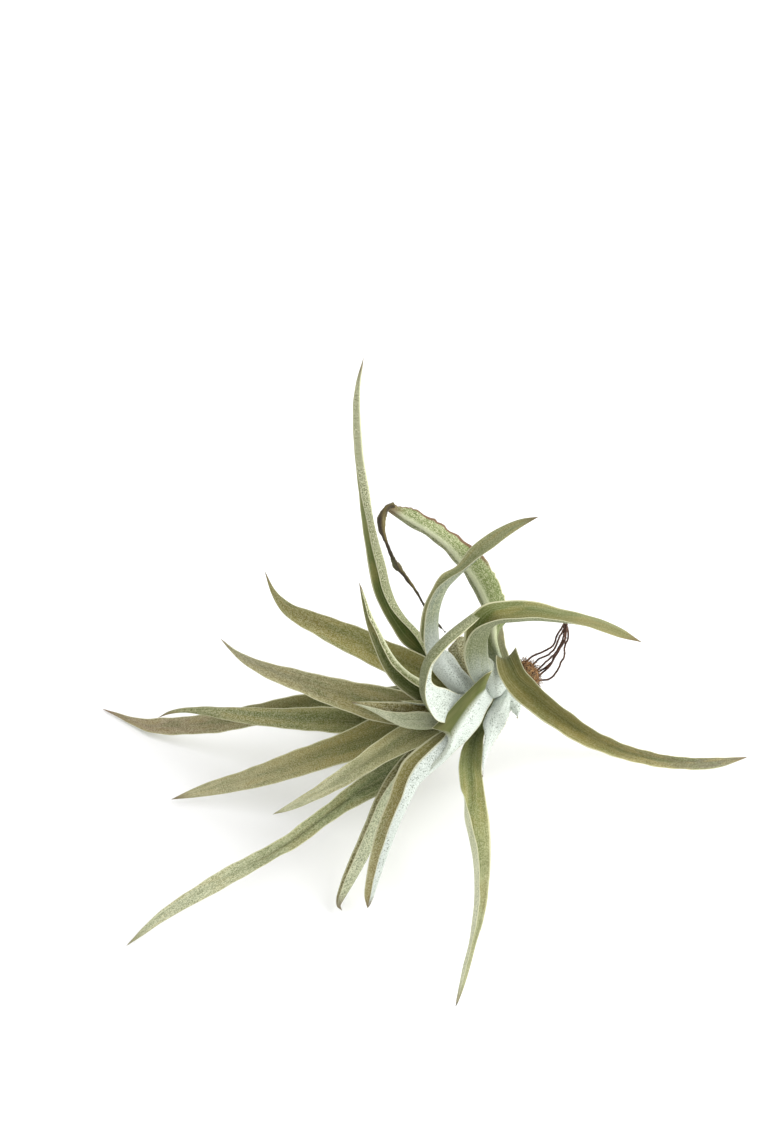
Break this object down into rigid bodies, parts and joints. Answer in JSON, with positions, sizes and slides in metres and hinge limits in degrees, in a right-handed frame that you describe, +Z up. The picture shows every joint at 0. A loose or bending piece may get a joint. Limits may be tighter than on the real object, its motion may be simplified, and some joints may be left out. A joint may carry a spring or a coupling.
{
  "type": "air plant",
  "caption": "Large silvery air plant without a pot, lying on its lower leaf tips, with channelled leaves bending off a short stem, a snapped leaf and dead wiry roots.",
  "frame": {"origin": "on the surface the plant lies on, under the middle of its box", "axes": "+X right as seen in the picture, towards the sweeping leaf's tip, +Y away from the viewer, +Z up off the surface"},
  "size_m": [0.2267, 0.1925, 0.1217],
  "materials": {
    "leaf_olive": "matt olive green leaf skin under a fine silvery bloom, paler at the margins",
    "leaf_green": "matt grey green leaf skin under a fine silvery bloom, paler at the margins",
    "leaf_silver": "matt green leaf skin almost hidden by a thick silver white bloom",
    "stem": "matt, pale grey white, among the sheaths",
    "roots": "matt dead brown fibre, rough and dry"
  },
  "bodies": {
    "root": {"stem": "stem", "roots": "roots", "heart_leaf": "leaf_green", "young_leaf": "leaf_silver", "small_upright_leaf": "leaf_green", "left_leaf": "leaf_olive", "short_leaf": "leaf_olive", "twisted_leaf": "leaf_olive", "upper_left_leaf": "leaf_olive", "lower_left_leaf": "leaf_olive", "brown_tipped_leaf": "leaf_olive", "hook_leaf": "leaf_silver", "hooked_tip_leaf": "leaf_silver", "rear_low_leaf": "leaf_olive", "long_leaf": "leaf_silver", "sinuous_leaf": "leaf_silver", "upright_leaf": "leaf_green", "rear_left_leaf": "leaf_olive", "keeled_leaf": "leaf_silver", "under_leaf": "leaf_olive", "arching_leaf": "leaf_green", "hanging_leaf": "leaf_olive", "rear_right_leaf": "leaf_olive", "rear_leaf": "leaf_olive", "broken_leaf": "leaf_green", "sweeping_leaf": "leaf_olive"}
  },
  "joints": []
}
